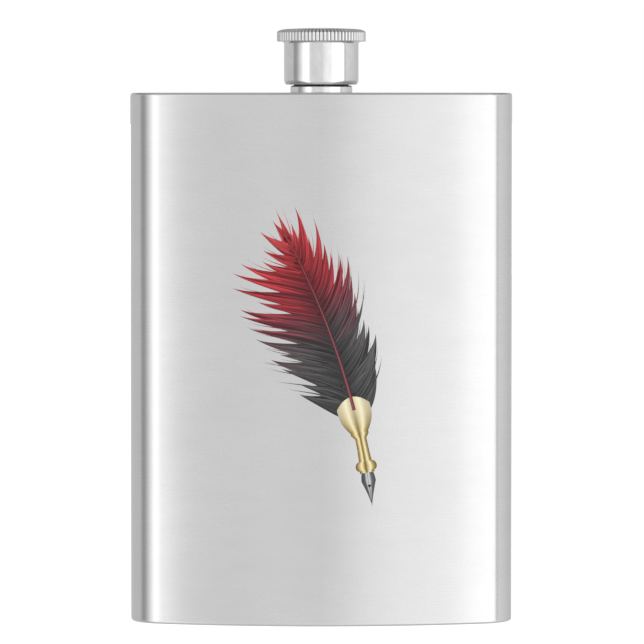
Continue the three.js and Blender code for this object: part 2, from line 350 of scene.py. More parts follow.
@dataclass(frozen=True)
class PlumeInk:
    """Printed ink of the plume: charcoal at the foot and red at the top, shaded along each lock."""

    name: str
    glow: float = 1.0  # lifts or lowers the light streaks
    roughness: float = 0.42

    def make(self) -> bpy.types.Material:
        """Builds the material.

        Returns:
            The material.
        """
        paint = Paint(self.name, Specular_IOR_Level=0.3)
        shade, reach, streak = (
            paint.node("ShaderNodeAttribute", {"attribute_name": name}, output="Fac")
            for name in ("shade", "reach", "streak")
        )
        where = paint.node("ShaderNodeCombineXYZ", {}, {0: streak * 5, 1: reach * 0.9})
        hair = paint.noise(where, 1, 4, 0.6)
        lock = streak - paint.node("ShaderNodeMath", {"operation": "FLOOR"}, {0: streak})
        place = shade + (hair - 0.5) * 0.3 + (reach - 0.5) * 0.16
        dark = paint.ramp(place, [
            (0.0, (0.022, 0.022, 0.023)), (0.38, (0.023, 0.021, 0.022)), (0.52, (0.050, 0.008, 0.012)),
            (0.72, (0.12, 0.007, 0.012)), (1.0, (0.27, 0.012, 0.018)),
        ])
        light = paint.ramp(place, [
            (0.0, (0.14, 0.14, 0.145)), (0.34, (0.16, 0.145, 0.15)), (0.48, (0.34, 0.09, 0.12)),
            (0.68, (0.62, 0.05, 0.07)), (0.86, (0.76, 0.06, 0.07)), (1.0, (0.78, 0.11, 0.12)),
        ])
        body = lock.between(0.1, 0.95) * 0.5 * (0.15 + 0.85 * reach)
        strands = hair.between(0.46, 0.70) * (0.08 + 0.78 * reach.between(0.05, 0.7))
        edge = lock.between(0.84, 1.0) * (0.3 + 0.55 * reach)
        paint.feed(Base_Color=paint.mix((body + strands + edge) * self.glow, dark, light))
        paint.feed(Roughness=self.roughness + (hair - 0.5) * 0.12)
        return paint.material


@dataclass(frozen=True)
class BandedInk:
    """Printed ink whose tone runs across a drawn part, so that it looks round."""

    name: str
    stops: tuple[tuple[float, Colour], ...]
    mouth: Colour | None = None  # a paler tone that the far end turns to
    roughness: float = 0.4
    grain_scale: tuple[float, float, float] = (900, 200, 2400)

    def make(self) -> bpy.types.Material:
        """Builds the material.

        Returns:
            The material.
        """
        paint = Paint(self.name, Specular_IOR_Level=0.4)
        across = paint.node("ShaderNodeAttribute", {"attribute_name": "reach"}, output="Fac")
        grain = paint.noise(paint.place(scale=self.grain_scale), 1, 3)
        tone = paint.ramp(across + (grain - 0.5) * 0.05, self.stops)
        if self.mouth:
            along = paint.node("ShaderNodeAttribute", {"attribute_name": "shade"}, output="Fac")
            tone = paint.mix(along.between(0.55, 1.0) * 0.5, tone, self.mouth)
        paint.feed(Base_Color=tone)
        paint.feed(Roughness=self.roughness + (grain - 0.5) * 0.1)
        return paint.material


# --- Mesh work ---------------------------------------------------------------------------------


def dress(
    name: str,
    mesh: bmesh.types.BMesh,
    material: bpy.types.Material,
    body: Body,
    slot: Slot,
    replaces: Sequence[str] = (),
) -> bpy.types.Object:
    """Turns a bmesh into a piece of the object.

    Args:
        name: The piece's name.
        mesh: Its shape, in the frame. It is freed.
        material: Its finish.
        body: The body that it rides on.
        slot: The record's slot of its finish; not used.
        replaces: CAD nodes that it stands for.

    Returns:
        The new object.
    """
    for face in mesh.faces:
        face.smooth = True
    for edge in mesh.edges:
        edge.smooth = not edge.is_manifold or edge.calc_face_angle(0) < SHARP
    data = bpy.data.meshes.new(name)
    mesh.to_mesh(data)
    mesh.free()
    data.materials.append(material)
    piece = bpy.data.objects.new(name, data)
    bpy.context.scene.collection.objects.link(piece)
    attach(piece, body.value)
    if replaces:
        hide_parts(*replaces)
    LOG.info("%s: %d faces on %s", name, len(data.polygons), body.value)
    return piece


def spin_vertex(
    mesh: bmesh.types.BMesh, start: bmesh.types.BMVert, centre: Vector, turn: float, steps: int
) -> bmesh.types.BMVert:
    """Draws a level arc of edges from a vertex.

    Args:
        mesh: The mesh to add to.
        start: The vertex that the arc starts from.
        centre: The arc's centre.
        turn: The angle that it turns through.
        steps: How many edges it has.

    Returns:
        The arc's last vertex.
    """
    made = bmesh.ops.spin(mesh, geom=[start], cent=centre, axis=UP, angle=turn, steps=steps)
    return next(v for v in made["geom_last"] if isinstance(v, bmesh.types.BMVert))


def bridge(mesh: bmesh.types.BMesh, first: Edges, second: Edges) -> None:
    """Joins two loops of edges with a band of faces."""
    bmesh.ops.bridge_loops(mesh, edges=[*first, *second])


def close_up(mesh: bmesh.types.BMesh) -> None:
    """Merges doubles and turns all faces outwards."""
    bmesh.ops.remove_doubles(mesh, verts=mesh.verts, dist=MERGE)
    bmesh.ops.recalc_face_normals(mesh, faces=mesh.faces)


@dataclass(frozen=True)
class Corner:
    """A point of a turned profile: its radius, its height and how far its corner is rounded."""

    radius: float
    height: float
    rounding: float = 0.0


def turned(
    mesh: bmesh.types.BMesh, axis: Vector, profile: Sequence[Corner], closed: bool, steps: int
) -> None:
    """Spins a profile about a vertical axis.

    Args:
        mesh: The mesh to add to.
        axis: A point on the axis.
        profile: The corners in order. An open profile starts and ends on the axis.
        closed: Whether the last corner is joined to the first.
        steps: The facets of a full turn.
    """
    verts = [mesh.verts.new((axis.x + c.radius, axis.y, c.height)) for c in profile]
    pairs = list(zip(verts, verts[1:] + verts[:1]))
    for pair in pairs if closed else pairs[:-1]:
        mesh.edges.new(pair)
    for rounding in sorted({c.rounding for c in profile if c.rounding}):
        corners = [v for v, c in zip(verts, profile) if c.rounding == rounding and v.is_valid]
        bmesh.ops.bevel(
            mesh, geom=corners, offset=rounding, affect="VERTICES", segments=ROUND_SEGMENTS,
            profile=0.5, material=-1,
        )
    wire = [e for e in mesh.edges if not e.link_faces]
    ends = {v for e in wire for v in e.verts}
    bmesh.ops.spin(
        mesh, geom=[*ends, *wire], cent=(axis.x, axis.y, 0), axis=UP, angle=2 * math.pi,
        steps=steps, use_merge=True,
    )
    close_up(mesh)


@dataclass(frozen=True)
class ThreadRidge:
    """One helical ridge of a screw thread, sunk into the wall that carries it."""

    root: float  # radius inside the wall
    crest: float
    sunk: float  # radius that the crest runs out to at each end, inside the wall
    start: float  # height of the ridge's middle where it begins
    turns: float
    pitch: float = 2.5 * MM
    root_half: float = 0.62 * MM
    crest_half: float = 0.3 * MM
    fade: float = 0.12  # share of the ridge that each run-out takes
    steps: int = 72  # facets of a full turn

    def add(self, mesh: bmesh.types.BMesh, axis: Vector) -> None:
        """Adds the ridge about a vertical axis.

        Args:
            mesh: The mesh to add to.
            axis: A point on the axis.
        """
        ring = [
            (self.root, -self.root_half), (self.crest, -self.crest_half),
            (self.crest, self.crest_half), (self.root, self.root_half),
        ]
        verts = [mesh.verts.new((axis.x + r, axis.y, self.start + h)) for r, h in ring]
        section = mesh.faces.new(verts)
        before = set(mesh.verts) - set(verts)
        count = round(self.turns * self.steps)
        bmesh.ops.spin(
            mesh, geom=[*verts, *section.edges, section], cent=(axis.x, axis.y, 0), axis=UP,
            dvec=(0, 0, self.turns * self.pitch / count), angle=self.turns * 2 * math.pi, steps=count,
        )
        ridge = [v for v in mesh.verts if v not in before]
        middle = (self.root + self.crest) / 2
        for vert in ridge:
            arm = Vector((vert.co.x - axis.x, vert.co.y - axis.y))
            on_crest = (arm.length > middle) == (self.crest > self.root)
            if on_crest:
                angle = math.atan2(arm.y, arm.x) / (2 * math.pi)
                turn = angle + round((vert.co.z - self.start) / self.pitch - angle)
                along = turn / self.turns
                share = max(0.0, min(1.0, along / self.fade, (1 - along) / self.fade))
                arm *= (self.sunk + (self.crest - self.sunk) * share) / arm.length
                vert.co.x, vert.co.y = axis.x + arm.x, axis.y + arm.y
        faces = list({f for v in ridge for f in v.link_faces})
        bmesh.ops.recalc_face_normals(mesh, faces=faces)


# --- Body --------------------------------------------------------------------------------------


@dataclass
class Kidney:
    """The body's section: a band of even thickness, bent along an arc, with round ends."""

    thickness: float = 21 * MM
    front_steps: int = 96
    end_steps: int = 56

    def __post_init__(self) -> None:
        """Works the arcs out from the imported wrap's box."""
        low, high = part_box("body_wrap")
        self.half = (high.x - low.x) / 2
        self.front_y = low.y
        depth = high.y - low.y
        reach = self.half - self.thickness / 2
        sag = depth - self.thickness
        self.midline = (reach**2 + sag**2) / (2 * sag)
        self.angle = math.asin(reach / self.midline)
        self.centre = Vector((0, self.front_y + self.midline + self.thickness / 2, 0))
        self.end = Vector((reach, self.front_y + sag + self.thickness / 2, 0))
        self.front_radius = self.midline + self.thickness / 2

    def loop(self, mesh: bmesh.types.BMesh, inset: float, height: float) -> Edges:
        """Draws the outline, inset by a distance, at a height.

        Args:
            mesh: The mesh to add to.
            inset: How far inside the outer surface the outline runs.
            height: Its height.

        Returns:
            The outline's edges.
        """
        before = set(mesh.edges)
        radius = self.front_radius - inset
        left = -math.pi / 2 - self.angle
        first = mesh.verts.new((
            radius * math.cos(left), self.centre.y + radius * math.sin(left), height,
        ))
        mirrored = Vector((-self.end.x, self.end.y, 0))
        vert = spin_vertex(mesh, first, self.centre, 2 * self.angle, self.front_steps)
        vert = spin_vertex(mesh, vert, self.end, math.pi, self.end_steps)
        vert = spin_vertex(mesh, vert, self.centre, -2 * self.angle, self.front_steps)
        vert = spin_vertex(mesh, vert, mirrored, math.pi, self.end_steps)
        bmesh.ops.weld_verts(mesh, targetmap={vert: first})
        return [e for e in mesh.edges if e not in before]

    def surface_y(self, x: float, proud: float) -> float:
        """The depth of a point that stands proud of the front face."""
        radius = self.front_radius + proud
        return self.centre.y - math.sqrt(radius**2 - x**2)


@dataclass
class FlaskBody:
    """The sheet wrap, its weld and the two end plates."""

    kidney: Kidney
    wall: float = 0.6 * MM
    plate: float = 0.8 * MM
    edge_round: float = 0.7 * MM
    lip_height: float = 1.6 * MM
    lip_wall: float = 0.6 * MM
    lip_clearance: float = 0.1 * MM
    hole_radius: float = 7.2 * MM
    round_steps: int = 8
    hole_steps: int = 96
    weld_half: float = 0.5 * MM
    weld_proud: float = 0.03 * MM
    weld_steps: int = 16

    def make_wrap(self, finish: bpy.types.Material) -> None:
        """Builds the kidney-section tube.

        Args:
            finish: Its material.
        """
        low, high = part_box("body_wrap")
        mesh = bmesh.new()
        corners = [(0, low.z), (0, high.z), (self.wall, high.z), (self.wall, low.z)]
        loops = [self.kidney.loop(mesh, inset, height) for inset, height in corners]
        for first, second in zip(loops, loops[1:] + loops[:1]):
            bridge(mesh, first, second)
        close_up(mesh)
        dress("steel_wrap", mesh, finish, Body.FLASK, Slot.BRUSHED, ["body_wrap"])

    def _plate_loops(self, mesh: bmesh.types.BMesh) -> tuple[Edges, Edges]:
        """Draws a plate's rolled edge, side and locating lip, with its outer face at height 0.

        Args:
            mesh: The mesh to add to.

        Returns:
            The edges that bound the outer face, and those that bound the inner face.
        """
        path = []
        for i in range(self.round_steps + 1):
            turn = math.pi / 2 * i / self.round_steps
            inset = self.edge_round * (1 - math.sin(turn))
            path.append((inset, -self.edge_round * (1 - math.cos(turn))))
        lip = self.wall + self.lip_clearance
        under = -self.plate
        path += [
            (0, under), (lip, under), (lip, under - self.lip_height),
            (lip + self.lip_wall, under - self.lip_height), (lip + self.lip_wall, under),
        ]
        loops = [self.kidney.loop(mesh, inset, height) for inset, height in path]
        for first, second in zip(loops, loops[1:]):
            bridge(mesh, first, second)
        return loops[0], loops[-1]

    def make_top_plate(self, axis: Vector, finish: bpy.types.Material) -> None:
        """Builds the shoulder plate, with the hole that the spout passes through.

        Args:
            axis: A point on the spout's axis.
            finish: Its material.
        """
        mesh = bmesh.new()
        outer, inner = self._plate_loops(mesh)
        rims = []
        for loop, height in ((outer, 0.0), (inner, -self.plate)):
            place = Matrix.Translation((axis.x, axis.y, height))
            circle = bmesh.ops.create_circle(
                mesh, segments=self.hole_steps, radius=self.hole_radius, matrix=place
            )
            rim = list({e for v in circle["verts"] for e in v.link_edges})
            bmesh.ops.triangle_fill(mesh, use_beauty=True, edges=[*loop, *rim], normal=UP)
            rims.append(rim)
        bridge(mesh, *rims)
        close_up(mesh)
        bmesh.ops.translate(mesh, verts=mesh.verts, vec=(0, 0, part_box("top_plate")[1].z))
        dress("shoulder_plate", mesh, finish, Body.FLASK, Slot.BRUSHED, ["top_plate"])

    def make_bottom_plate(self, finish: bpy.types.Material) -> None:
        """Builds the base plate, turned over so that its rolled edge is at the foot.

        Args:
            finish: Its material.
        """
        mesh = bmesh.new()
        for loop in self._plate_loops(mesh):
            bmesh.ops.triangle_fill(mesh, use_beauty=True, edges=loop, normal=UP)
        bmesh.ops.scale(mesh, verts=mesh.verts, vec=(1, 1, -1))
        close_up(mesh)
        dress("base_plate", mesh, finish, Body.FLASK, Slot.BRUSHED, ["bottom_plate"])

    def make_weld(self, finish: bpy.types.Material) -> None:
        """Builds the dressed weld bead down the left narrow side.

        Args:
            finish: Its material.
        """
        low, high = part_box("body_wrap")
        mesh = bmesh.new()
        bmesh.ops.create_circle(mesh, segments=self.weld_steps, radius=1, cap_ends=True)
        bmesh.ops.scale(mesh, verts=mesh.verts, vec=(self.weld_proud, self.weld_half, 1))
        side = Vector((-self.kidney.half, self.kidney.end.y, low.z))
        bmesh.ops.translate(mesh, verts=mesh.verts, vec=side)
        made = bmesh.ops.extrude_face_region(mesh, geom=mesh.faces[:])
        raised = [v for v in made["geom"] if isinstance(v, bmesh.types.BMVert)]
        bmesh.ops.translate(mesh, verts=raised, vec=(0, 0, high.z - low.z))
        close_up(mesh)
        dress("side_weld", mesh, finish, Body.FLASK, Slot.BRUSHED)


# --- Neck and cap ------------------------------------------------------------------------------


@dataclass
class Spout:
    """The neck: a spigot through the plate, a collar on it and a threaded tube above."""

    core: float = 6.85 * MM
    wall: float = 0.7 * MM
    spigot: float = 7.1 * MM
    collar_height: float = 1.8 * MM
    collar_chamfer: float = 0.3 * MM
    thread_height: float = 0.7 * MM
    thread_start: float = 4.6 * MM
    thread_turns: float = 2.2
    sink: float = 0.3 * MM  # how far a thread's root lies inside its wall
    foot_round: float = 0.1 * MM
    seat_bevel: float = 0.05 * MM
    collar_round: float = 0.12 * MM
    root_round: float = 0.2 * MM
    lip_round: float = 0.28 * MM
    steps: int = 128

    def __post_init__(self) -> None:
        """Takes the axis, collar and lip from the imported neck's box."""
        low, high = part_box("neck")
        self.foot, self.lip = low.z, high.z
        self.collar = (high.x - low.x) / 2
        self.axis = Vector(((low.x + high.x) / 2, (low.y + high.y) / 2, 0))
        self.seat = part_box("top_plate")[1].z

    def make(self, finish: bpy.types.Material) -> None:
        """Builds the spout.

        Args:
            finish: Its material.
        """
        mesh = bmesh.new()
        bore = self.core - self.wall
        top = self.seat + self.collar_height
        turned(mesh, self.axis, [
            Corner(bore, self.foot, self.foot_round),
            Corner(self.spigot, self.foot, self.foot_round),
            Corner(self.spigot, self.seat),
            Corner(self.collar - self.seat_bevel, self.seat),
            Corner(self.collar, self.seat + self.seat_bevel),
            Corner(self.collar, top - self.collar_chamfer, self.collar_round),
            Corner(self.collar - self.collar_chamfer, top, self.collar_round),
            Corner(self.core, top, self.root_round),
            Corner(self.core, self.lip, self.lip_round),
            Corner(bore, self.lip, self.lip_round),
        ], closed=True, steps=self.steps)
        ThreadRidge(
            root=self.core - self.sink, crest=self.core + self.thread_height,
            sunk=self.core - self.sink / 2, start=self.seat + self.thread_start, turns=self.thread_turns,
        ).add(mesh, self.axis)
        dress("threaded_spout", mesh, finish, Body.FLASK, Slot.POLISHED, ["neck"])


@dataclass
class ScrewCap:
    """The cap: a knurled steel shell, a moulded cup with the thread, and a soft disc."""

    spout: Spout
    skirt: float = 9.3 * MM
    skirt_fillet: float = 0.7 * MM
    bore: float = 8.6 * MM
    bore_round: float = 0.1 * MM
    lip_rise: float = 0.85 * MM  # height over which the skirt draws in to its rim
    lip_draw: float = 0.4 * MM
    lip_round: float = 0.25 * MM
    rim_round: float = 0.18 * MM
    flange_height: float = 2.2 * MM
    flange_round: float = 0.2 * MM
    shoulder_rise: float = 0.9 * MM
    shoulder_width: float = 2.8 * MM
    dome_rise: float = 0.25 * MM
    dome_steps: int = 8
    knurls: int = 72
    knurl_depth: float = 0.3 * MM
    knurl_run_out: float = 0.25  # share of the shoulder's width that a groove fades over
    knurl_sharpness: float = 0.7  # below 1 leaves narrow grooves between broad teeth
    steps_per_knurl: int = 8
    insert_bore: float = 7.75 * MM
    insert_roof: float = 0.5 * MM
    insert_turns: float = 1.8
    insert_rim_round: float = 0.25 * MM
    insert_top_round: float = 0.2 * MM
    seal_ring: float = 0.12 * MM  # how far the ring stands out
    seal_ring_foot: float = 0.9 * MM  # where its inner slope starts, inside the middle of the lip
    seal_ring_top: float = 0.7 * MM  # where that slope ends
    seal_round: float = 0.2 * MM
    seal_foot_round: float = 0.1 * MM
    seal_top_round: float = 0.08 * MM

    def make_shell(self, finish: bpy.types.Material) -> None:
        """Builds the knurled shell.

        Args:
            finish: Its material.
        """
        low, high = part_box("cap_shell")
        flange = (high.x - low.x) / 2
        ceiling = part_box("cap_thread_insert")[1].z
        dome_edge = high.z - self.dome_rise
        shoulder = dome_edge - self.shoulder_rise
        under = shoulder - self.flange_height
        dome_radius = flange - self.shoulder_width
        dome = []
        for i in range(self.dome_steps):
            share = i / self.dome_steps
            dome.append(Corner(dome_radius * share, high.z - self.dome_rise * share**2))
        for i in range(self.dome_steps + 1):
            turn = math.pi / 2 * i / self.dome_steps
            radius = dome_radius + self.shoulder_width * math.sin(turn)
            dome.append(Corner(radius, shoulder + self.shoulder_rise * math.cos(turn)))
        mesh = bmesh.new()
        turned(mesh, self.spout.axis, [
            *dome,
            *(Corner(flange, under + self.flange_height * share) for share in (0.75, 0.5, 0.25)),
            Corner(flange, under, self.flange_round),
            Corner(self.skirt, under, self.skirt_fillet),
            Corner(self.skirt, low.z + self.lip_rise, self.lip_round),
            Corner(self.skirt - self.lip_draw, low.z, self.rim_round),
            Corner(self.bore, low.z, self.bore_round),
            Corner(self.bore, ceiling),
            Corner(0, ceiling),
        ], closed=False, steps=self.knurls * self.steps_per_knurl)
        self._cut_knurl(mesh, flange, shoulder)
        close_up(mesh)
        dress("knurled_shell", mesh, finish, Body.CAP, Slot.POLISHED, ["cap_shell"])

    def _cut_knurl(self, mesh: bmesh.types.BMesh, flange: float, shoulder: float) -> None:
        """Presses straight grooves into the flange, which run out at the edge of its dome.

        Args:
            mesh: The shell.
            flange: The flange's radius.
            shoulder: The height of the flange's upper edge.
        """
        layer = mesh.verts.layers.float.new("groove")
        axis = self.spout.axis
        for vert in mesh.verts:
            arm = Vector((vert.co.x - axis.x, vert.co.y - axis.y))
            over = vert.co.z > shoulder
            start = flange - self.shoulder_width if over else flange - 2 * self.knurl_depth
            fade = self.shoulder_width * self.knurl_run_out if over else self.knurl_depth
            share = max(0.0, min(1.0, (arm.length - start) / fade))
            if share and arm.length > self.skirt:
                tooth = abs(math.cos(math.atan2(arm.y, arm.x) * self.knurls / 2))
                groove = share * (1 - tooth**self.knurl_sharpness)
                arm *= 1 - self.knurl_depth * groove / arm.length
                drop = self.knurl_depth * groove if over else 0
                vert.co = (axis.x + arm.x, axis.y + arm.y, vert.co.z - drop)
                # each vertex keeps its groove depth, the mask for the painted shade and dirt in the
                # grooves
                vert[layer] = groove

    def make_insert(self, finish: bpy.types.Material) -> None:
        """Builds the moulded cup with its internal thread.

        Args:
            finish: Its material.
        """
        low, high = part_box("cap_thread_insert")
        outer = (high.x - low.x) / 2
        mesh = bmesh.new()
        turned(mesh, self.spout.axis, [
            Corner(0, high.z - self.insert_roof),
            Corner(self.insert_bore, high.z - self.insert_roof),
            Corner(self.insert_bore, low.z, self.insert_rim_round),
            Corner(outer, low.z, self.insert_rim_round),
            Corner(outer, high.z, self.insert_top_round),
            Corner(0, high.z),
        ], closed=False, steps=self.spout.steps)
        sink = self.spout.sink
        ThreadRidge(
            root=self.insert_bore + sink, crest=self.insert_bore - self.spout.thread_height,
            sunk=self.insert_bore + sink / 2,
            start=self.spout.seat + self.spout.thread_start - ThreadRidge.pitch / 2,
            turns=self.insert_turns,
        ).add(mesh, self.spout.axis)
        dress("thread_cup", mesh, finish, Body.CAP, Slot.INSERT, ["cap_thread_insert"])

    def make_seal(self, finish: bpy.types.Material) -> None:
        """Builds the soft disc, with a raised ring where it meets the lip.

        Args:
            finish: Its material.
        """
        low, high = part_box("cap_seal")
        radius = (high.x - low.x) / 2
        lip = self.spout.core - self.spout.wall / 2
        inner = low.z + self.seal_ring
        mesh = bmesh.new()
        turned(mesh, self.spout.axis, [
            Corner(0, inner),
            Corner(lip - self.seal_ring_foot, inner, self.seal_foot_round),
            Corner(lip - self.seal_ring_top, low.z, self.seal_top_round),
            Corner(radius, low.z, self.seal_round),
            Corner(radius, high.z, self.seal_round),
            Corner(0, high.z),
        ], closed=False, steps=self.spout.steps)
        dress("sealing_disc", mesh, finish, Body.SEAL, Slot.SEAL, ["cap_seal"])


# --- Print -------------------------------------------------------------------------------------


Outline = Callable[[float, float], tuple[float, float]]
Tones = Callable[[float, float], tuple[float, float, float]]


@dataclass(frozen=True)
class Strand:
    """One barb or lock of barbs of the plume, from the shaft to its free tip."""

    side: int  # -1 on the left of the shaft, 1 on its right
    root: float  # how far along the drawing it starts
    reach: float  # how far its tip lies from the shaft
    climb: float  # how far its tip lies beyond its root
    half: float  # half its width
    belly: float  # how much it swells between root and tip
    droop: float  # 0 turns up towards the tip, 1 bends outwards
    tone: float  # its place in the plume's colours
    seed: float  # its own streaks


@dataclass
class QuillPrint:
    """A plain feather quill, printed as thin films of ink that follow the front's curve.

    The drawing has its own axes: `along` runs up the bent shaft from the nib's point and `across`
    runs to the right of it.
    """

    kidney: Kidney
    tip: tuple[float, float] = (12.7 * MM, 30 * MM)
    length: float = 77 * MM
    nib_lean: float = math.radians(7)
    plume_lean: float = math.radians(30)
    nib: float = 9 * MM
    nib_half: float = 1.8 * MM
    stem_half: float = 1.4 * MM
    ferrule: float = 16.5 * MM
    ferrule_half: float = 4.2 * MM
    vane_left: float = 18 * MM
    vane_right: float = 11 * MM
    locks: int = 17
    lock_half: tuple[float, float] = (2.1 * MM, 1.2 * MM)  # at the foot and at the tip of the plume
    lock_ragged: float = 0.26
    barbs: int = 30
    barb_half: tuple[float, float] = (0.3 * MM, 0.14 * MM)
    barb_ragged: float = 0.28
    belly: float = 0.45
    steps: int = 24
    rooting: float = 0.7 * MM  # how far a strand starts beyond the shaft
    ink: float = 0.02 * MM
    lift: float = 0.01 * MM
    overlap: float = 0.0015 * MM  # rise of each lock over the next one up the plume
    barb_overlap: float = 0.0004 * MM
    slit_level: float = 0.03 * MM
    ferrule_level: float = 0.05 * MM
    shaft_level: float = 0.06 * MM
    seed: int = 7

    def _point(self, along: float, across: float) -> tuple[float, float]:
        """Finds where a point of the drawing lies on the front.

        Args:
            along: Its distance up the shaft.
            across: Its distance to the right of the shaft.

        Returns:
            Its x and z.
        """
        bend = self.length / (self.plume_lean - self.nib_lean)
        lean = self.nib_lean + along / bend
        x = self.tip[0] - bend * (math.cos(self.nib_lean) - math.cos(lean)) + across * math.cos(lean)
        z = self.tip[1] + bend * (math.sin(lean) - math.sin(self.nib_lean)) + across * math.sin(lean)
        return x, z

    def _film(
        self, mesh: bmesh.types.BMesh, grid: tuple[int, int], outline: Outline, tones: Tones,
        level: float = 0.0,
    ) -> None:
        """Adds a closed film of ink in the shape of a drawing.

        Args:
            mesh: The mesh to add to.
            grid: The film's steps along the drawn part and across it.
            outline: Gives along and across for shares of the way along (0 to 1) and across (-1 to 1).
            tones: Gives the tones shade, reach and streak for the same shares.
            level: The height of the film's underside over the lowest film.
        """
        layers = [
            mesh.verts.layers.float.get(name) or mesh.verts.layers.float.new(name)
            for name in ("shade", "reach", "streak")
        ]
        made = bmesh.ops.create_grid(mesh, x_segments=grid[0], y_segments=grid[1], size=1)
        for vert in made["verts"]:
            share, side = (vert.co.x + 1) / 2, vert.co.y
            x, z = self._point(*outline(share, side))
            for layer, tone in zip(layers, tones(share, side)):
                vert[layer] = tone
            vert.co = (x, self.kidney.surface_y(x, self.lift + level), z)
        faces = list({f for v in made["verts"] for f in v.link_faces})
        raised = bmesh.ops.extrude_face_region(mesh, geom=faces, use_keep_orig=True)
        for vert in raised["geom"]:
            if isinstance(vert, bmesh.types.BMVert):
                vert.co.y = self.kidney.surface_y(vert.co.x, self.lift + level + self.ink)

    def _print(
        self, name: str, mesh: bmesh.types.BMesh, finish: bpy.types.Material, replaces: Sequence[str] = ()
    ) -> None:
        """Makes the films that were drawn a piece of the flask."""
        close_up(mesh)
        dress(name, mesh, finish, Body.FLASK, Slot.INK, replaces)

    def _strand(self, mesh: bmesh.types.BMesh, strand: Strand, across_steps: int, level: float) -> None:
        """Adds a strand, whose sides bulge by its belly and close at its tip.

        Args:
            mesh: The mesh to add to.
            strand: The strand.
            across_steps: The film's steps across it.
            level: The height of the film's underside over the lowest film.
        """

        def path(share: float) -> Vector:
            """Follows the strand's middle line.

            Args:
                share: The share of the way to its tip.

            Returns:
                Along and across.
            """
            upturned = (0.5 * share + 0.5 * share**2.2, 1 - (1 - share) ** 1.4)
            drooping = (0.86 * (1 - (1 - share) ** 2) + 0.14 * share**6, share**1.35)
            rise, out = (u + (d - u) * strand.droop for u, d in zip(upturned, drooping))
            start = self.rooting
            across = strand.side * ((strand.reach + start) * out - start)
            return Vector((strand.root + strand.climb * rise, across))

        def outline(share: float, side: float) -> tuple[float, float]:
            """Widens the middle line at right angles to it.

            Args:
                share: The share of the way to the tip.
                side: The share of the way across, -1 to 1.

            Returns:
                Along and across.
            """
            step = 0.01
            tangent = path(min(share + step, 1)) - path(max(share - step, 0))
            normal = Vector((-tangent.y, tangent.x)).normalized() * -strand.side
            width = (1 + strand.belly * math.sin(math.pi * share**0.7)) * (1 - share**1.5) ** 1.1
            return tuple(path(share) + normal * (side * strand.half * width))

        def tones(share: float, side: float) -> tuple[float, float, float]:
            """The strand's place in the plume's colours, and its own streaks."""
            return strand.tone + 0.1 * share, share, strand.seed + (side + 1) / 2

        self._film(mesh, (self.steps, across_steps), outline, tones, level)

    def _vane(self, side: int, share: float) -> tuple[float, float, float]:
        """How a vane's strands lie at a share of the plume's length.

        Args:
            side: -1 for the left vane, 1 for the right one.
            share: The share of the way up the plume.

        Returns:
            A strand's reach, its climb and its droop.
        """
        widest, foot, peak, lift, droop = {
            -1: (self.vane_left, 0.55, 0.95, 17 * MM, 0.7), 1: (self.vane_right, 0.62, 0.78, 18 * MM, 0.2),
        }[side]
        swell = math.sin(math.pi * (0.12 + 0.88 * share) ** peak) ** 0.9
        full = foot * (1 - share) ** 0.8 + (1 - foot * (1 - share) ** 0.8) * swell
        climb = lift * (0.62 + 0.5 * share - 0.62 * share**3)
        return widest * (0.07 + 0.93 * full), climb, droop * (1 - 0.6 * share)

    def _strands(
        self, dice: random.Random, side: int, count: int, half: tuple[float, float], ragged: float
    ) -> Iterable[Strand]:
        """Gives one vane's strands, from the foot to the tip.

        Args:
            dice: The source of their small differences.
            side: -1 for the left vane, 1 for the right one.
            count: How many.
            half: Half a strand's width at the foot and at the tip of the plume.
            ragged: How much their lengths differ.

        Yields:
            Each strand.
        """
        foot = self.nib + self.ferrule - 2 * MM
        for i in range(count):
            share = i / (count - 1)
            reach, climb, droop = self._vane(side, share)
            length = dice.uniform(1 - ragged, 1 + 0.6 * ragged)
            yield Strand(
                side=side,
                root=foot + (self.length - foot) * 0.83 * share,
                reach=reach * length,
                climb=climb * length * dice.uniform(0.92, 1.08),
                half=(half[0] + (half[1] - half[0]) * share) * dice.uniform(0.8, 1.15),
                belly=self.belly,
                droop=droop * dice.uniform(0.7, 1.2),
                tone=share * 0.95 + dice.uniform(-0.07, 0.07) - 0.04 * side,
                seed=dice.uniform(0, 400),
            )

    def make_plume(self, locks_finish: bpy.types.Material, barbs_finish: bpy.types.Material) -> None:
        """Builds both vanes: broad overlapping locks, and fine barbs over them.

        Args:
            locks_finish: The locks' ink.
            barbs_finish: The barbs' ink.
        """
        dice = random.Random(self.seed)
        mesh = bmesh.new()
        for side in (-1, 1):
            strands = self._strands(dice, side, self.locks, self.lock_half, self.lock_ragged)
            for i, strand in enumerate(strands):
                self._strand(mesh, strand, 10, self.overlap * (self.locks - i))
        self._print("plume_locks", mesh, locks_finish, ["printed_emblem"])
        mesh = bmesh.new()
        over_locks = self.overlap * (self.locks + 2)
        for side in (-1, 1):
            strands = self._strands(dice, side, self.barbs, self.barb_half, self.barb_ragged)
            for i, strand in enumerate(strands):
                self._strand(mesh, strand, 1, over_locks + self.barb_overlap * i)
        self._print("plume_barbs", mesh, barbs_finish)

    def make_shaft(self, finish: bpy.types.Material) -> None:
        """Builds the tapering shaft.

        Args:
            finish: Its material.
        """
        mesh = bmesh.new()
        low = self.nib + self.ferrule - 1 * MM
        high = self.length - 5 * MM

        def outline(share: float, side: float) -> tuple[float, float]:
            """A line that thins towards the tip."""
            return low + (high - low) * share, side * (0.42 - 0.34 * share) * MM

        self._film(mesh, (60, 2), outline, self._round_tones, self.shaft_level)
        self._print("shaft_print", mesh, finish)

    @staticmethod
    def _round_tones(share: float, side: float) -> tuple[float, float, float]:
        """Tones that run straight across a drawn tube."""
        return share, (side + 1) / 2, 0.0

